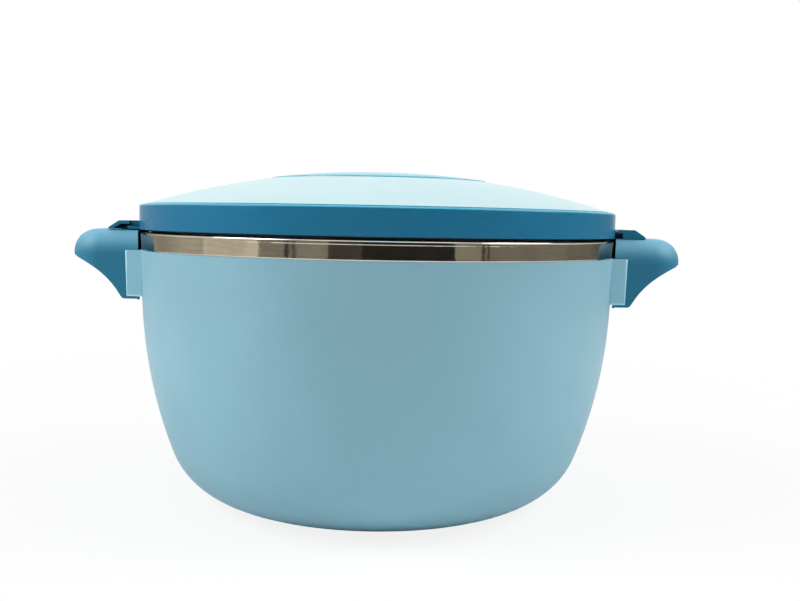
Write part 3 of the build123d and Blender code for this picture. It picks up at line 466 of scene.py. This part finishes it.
class CASSEROLE_OT_steel(bpy.types.Operator):
    """Finish the lid's liner, the screws and the pins"""
    bl_idname = "casserole.steel"
    bl_label = "Steel"

    def execute(self, context):
        colours = context.scene.casserole_colours
        dress(spun_steel("liner steel", colours.steel, 0.20, 1800.0), "lid_liner")
        dress(spun_steel("screw steel", ZINC, 0.32, 900.0),
              "handle_screws_left", "handle_screws_right", "bracket_screws", "catch_screws", "lid_screws")
        dress(spun_steel("hinge pin steel", BRIGHT_WIRE, 0.25, 900.0), "hinge_pin")
        dress(spun_steel("latch pin steel", DULL_WIRE, 0.55, 900.0), "latch_pin")
        return {"FINISHED"}


class CASSEROLE_OT_lid(bpy.types.Operator):
    """Finish the lid's cover, skirt, centre cap and gasket"""
    bl_idname = "casserole.lid"
    bl_label = "Lid"

    def execute(self, context):
        colours = context.scene.casserole_colours
        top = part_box("lid_skirt")[1].z
        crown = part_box("centre_cap")[1].z
        # Painted shade in the edge colour along the dome's lower edge, next to the skirt
        dress(moulded_plastic("dome plastic", colours.dome, 0.28, shade=0.02, gloss=0.4,
                              edge=(colours.edge, top + 0.8 * MM, top + 0.2 * MM)),
              "lid_cover", "lid_fill_plug")
        # Painted highlight in the edge colour along the skirt's rounded top edge
        dress(moulded_plastic("skirt plastic", colours.skirt, 0.25, gloss=0.12,
                              edge=(colours.edge, top - 1.1 * MM, top - 0.6 * MM)), "lid_skirt")
        # Painted shade in the edge colour round the lower rim of the cap
        dress(moulded_plastic("cap plastic", colours.cap, 0.25, shade=0.02, peel=0.12,
                              edge=(colours.edge, crown - 2.6 * MM, crown - 3.8 * MM)), "centre_cap")
        dress(soft_silicone("gasket silicone", DARK_SILICONE), "lid_gasket")
        return {"FINISHED"}


class CASSEROLE_OT_handles(bpy.types.Operator):
    """Finish the two handles, the hinge cover, the latch flap and its catch"""
    bl_idname = "casserole.handles"
    bl_label = "Handles"

    def execute(self, context):
        colours = context.scene.casserole_colours
        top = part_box("handle_left")[1].z
        # Painted highlight: the handles grow lighter towards their tops, as the light from above falls on
        # them
        light = [c * 0.85 + painted_highlight for c, painted_highlight in zip(colours.handles, HANDLE_PAINTED_HIGHLIGHT)]
        dress(moulded_plastic("handle plastic", colours.handles, 0.50, streaks=0.7, gloss=0.45,
                              edge=(light, top - 16.5 * MM, top)), "handle_left", "handle_right")
        dress(moulded_plastic("latch plastic", colours.handles, 0.34, gloss=0.35),
              "hinge_bracket", "latch_flap", "catch_plate")
        return {"FINISHED"}


# ---------------------------------------------------------------- studio


WHITE = (1.0, 1.0, 1.0)
FLOOR_PAINT = (0.93, 0.93, 0.93)
FLOOR_GLOW = 0.85                     # share of plain white that the camera sees near the casserole
FLOOR_DROP = 0.1 * MM                 # keeps the floor clear of the foot ring
CARD_HEIGHT = 0.9
CREAM = (0.95, 0.90, 0.80)
CARD_TONES = {"bright": ((0.72, 0.66, 0.53), CREAM), "soft": ((0.49, 0.44, 0.35), CREAM),
              "middle": ((0.29, 0.265, 0.21), None), "plain": ((0.215, 0.195, 0.16), CREAM),
              "brown": ((0.075, 0.065, 0.055), None), "dark": ((0.024, 0.023, 0.022), None)}
CARDS = (("card_left", -142, -79, "soft"), ("card_bright", -79, -50.3, "bright"),
         ("card_middle_left", -50.3, -19.9, "middle"), ("card_brown", -19.9, -5.8, "brown"),
         ("card_dark", -5.8, 32.4, "dark"), ("card_middle_right", 32.4, 44.5, "middle"),
         ("card_right", 44.5, 142, "plain"))
POSTS = ((-38.0, -36.2), (-35.0, -33.4), (44.0, 45.3), (46.5, 47.6))
POST_DISTANCE = 0.96                  # the posts stand just in front of the cards


def glow(name, colour, upper=None):
    """A card that shines a little unevenly, as a lit wall does. Its upper part may have its own colour."""
    f = Finish(bpy.data.materials.new(name))
    cloud = f.noise(f.place((1.0, 1.0, 0.6)), 3.0, 2.0)
    tint = f.blend(f.between(cloud, 0.3, 0.7), [c * 0.86 for c in colour], [c * 1.12 for c in colour])
    if upper:
        tint = f.blend(f.between(f.split(f.place())[2], 0.26, 0.4), tint, upper)
    return f.surface(f.node("ShaderNodeEmission", {}, {"Color": tint, "Strength": 1.0}))


def stage_piece(name, mesh, material):
    """Puts a floor or card in the studio."""
    data = bpy.data.meshes.new(name)
    mesh.to_mesh(data)
    mesh.free()
    data.materials.append(material)
    piece = bpy.data.objects.new(name, data)
    bpy.context.scene.collection.objects.link(piece)
    return piece


def reflector(name, start, end, material, distance=1.0):
    """A curved card that only polished surfaces see. Angles run from the front, towards the hinge."""
    mesh = bmesh.new()
    begin = Matrix.Rotation(radians(start), 3, "Z") @ Vector((0, -distance, 0))
    foot = mesh.verts.new(begin)
    head = mesh.verts.new(begin + Vector((0, 0, CARD_HEIGHT)))
    edge = mesh.edges.new((foot, head))
    bmesh.ops.spin(mesh, geom=[foot, head, edge], cent=(0, 0, 0), axis=(0, 0, 1),
                   angle=radians(end - start), steps=max(2, int(abs(end - start) / 3)))
    card = stage_piece(name, mesh, material)
    card.visible_camera = card.visible_diffuse = card.visible_shadow = card.visible_transmission = False


def lamp(name, place, target, size, power):
    """A square soft lamp that points at a target."""
    data = bpy.data.lights.new(name, "AREA")
    data.energy = power
    data.size = size
    light = bpy.data.objects.new(name, data)
    light.location = place
    light.rotation_euler = (Vector(target) - Vector(place)).to_track_quat("-Z", "Y").to_euler()
    bpy.context.scene.collection.objects.link(light)


class CASSEROLE_OT_studio(bpy.types.Operator):
    """Set up the pale floor, the soft lamps, the cards that the steel reflects and the camera"""
    bl_idname = "casserole.studio"
    bl_label = "Studio"

    def execute(self, context):
        scene = context.scene
        studio = scene.casserole_studio
        scene.view_settings.view_transform = "Standard"
        camera_data = bpy.data.cameras.new("camera")
        camera_data.lens = studio.lens
        camera_data.clip_start = 0.01
        camera = bpy.data.objects.new("camera", camera_data)
        stand = Matrix.Rotation(studio.turn, 4, "Z")
        look = (Matrix.Rotation(-studio.aim, 4, "Z") @ Matrix.Rotation(pi / 2 - studio.tilt, 4, "X")
                @ Matrix.Rotation(studio.roll, 4, "Z"))
        camera.matrix_world = stand @ Matrix.Translation((0, -studio.distance, studio.height)) @ look
        scene.collection.objects.link(camera)
        scene.camera = camera

        world = scene.world or bpy.data.worlds.new("studio")
        scene.world = world
        f = Finish(world)
        rays = f.node("ShaderNodeLightPath").socket.node.outputs
        seen = f.maths("MAXIMUM", Signal(f, rays["Is Camera Ray"]),
                       f.maths("MAXIMUM", Signal(f, rays["Is Glossy Ray"]),
                               Signal(f, rays["Is Transmission Ray"])))
        strength = studio.fill + seen * (1.0 - studio.fill)
        f.surface(f.node("ShaderNodeBackground", {}, {"Color": WHITE, "Strength": strength}))

        f = Finish(bpy.data.materials.new("floor"))
        seen = f.node("ShaderNodeLightPath")
        x, y, z = f.split(f.place())
        away = f.between(f.radius(x, y), 0.25, 0.8)
        paint = f.node("ShaderNodeBsdfDiffuse", {}, {"Color": FLOOR_PAINT})
        white = f.node("ShaderNodeEmission", {}, {"Color": WHITE, "Strength": 1.0})
        share = seen * (FLOOR_GLOW + away * (1.0 - FLOOR_GLOW))
        mixed = f.node("ShaderNodeMixShader", {}, {0: share, 1: paint, 2: white})
        floor = bmesh.new()
        bmesh.ops.create_grid(floor, x_segments=1, y_segments=1, size=6.0,
                              matrix=Matrix.Translation((0, 0, -FLOOR_DROP)))
        stage_piece("floor", floor, f.surface(mixed))

        tones = {tone: glow("card " + tone, *colours) for tone, colours in CARD_TONES.items()}
        for name, start, end, tone in CARDS:
            reflector(name, start, end, tones[tone])
        for number, (start, end) in enumerate(POSTS):
            reflector(f"card_post_{number}", start, end, tones["brown"], POST_DISTANCE)

        lamp("lamp_left", (-1.35, -0.35, 1.2), (0, 0, 0.1), 1.0, studio.left_lamp)
        lamp("lamp_right", (1.4, -0.1, 1.2), (0, 0, 0.1), 1.0, studio.right_lamp)
        lamp("lamp_front", (-0.1, -1.3, 0.12), (0, 0, 0.05), 0.8, studio.front_lamp)
        lamp("lamp_top", (0.0, 0.1, 1.7), (0, 0, 0.1), 1.8, studio.top_lamp)
        return {"FINISHED"}


class CASSEROLE_PT_panel(bpy.types.Panel):
    """Colours, studio and the operators"""
    bl_idname = "CASSEROLE_PT_panel"
    bl_label = "Casserole"
    bl_space_type = "VIEW_3D"
    bl_region_type = "UI"
    bl_category = "Casserole"

    def draw(self, context):
        scene = context.scene
        for settings in (scene.casserole_colours, scene.casserole_sizes, scene.casserole_studio):
            box = self.layout.box()
            for name in settings.__annotations__:
                box.prop(settings, name)
        for operator in OPERATORS:
            self.layout.operator(operator.bl_idname)


OPERATORS = (CASSEROLE_OT_studio, CASSEROLE_OT_body, CASSEROLE_OT_bowl, CASSEROLE_OT_steel,
             CASSEROLE_OT_lid, CASSEROLE_OT_handles)
CLASSES = (CasseroleColours, CasseroleSizes, StudioSettings, *OPERATORS, CASSEROLE_PT_panel)


def register():
    for item in CLASSES:
        bpy.utils.register_class(item)
    bpy.types.Scene.casserole_colours = PointerProperty(type=CasseroleColours)
    bpy.types.Scene.casserole_sizes = PointerProperty(type=CasseroleSizes)
    bpy.types.Scene.casserole_studio = PointerProperty(type=StudioSettings)


def unregister():
    del bpy.types.Scene.casserole_studio
    del bpy.types.Scene.casserole_sizes
    del bpy.types.Scene.casserole_colours
    for item in reversed(CLASSES):
        bpy.utils.unregister_class(item)


def main():
    register()
    bpy.ops.casserole.studio()
    bpy.ops.casserole.body()
    bpy.ops.casserole.bowl()
    bpy.ops.casserole.steel()
    bpy.ops.casserole.lid()
    bpy.ops.casserole.handles()


if __name__ == "__main__":
    main()
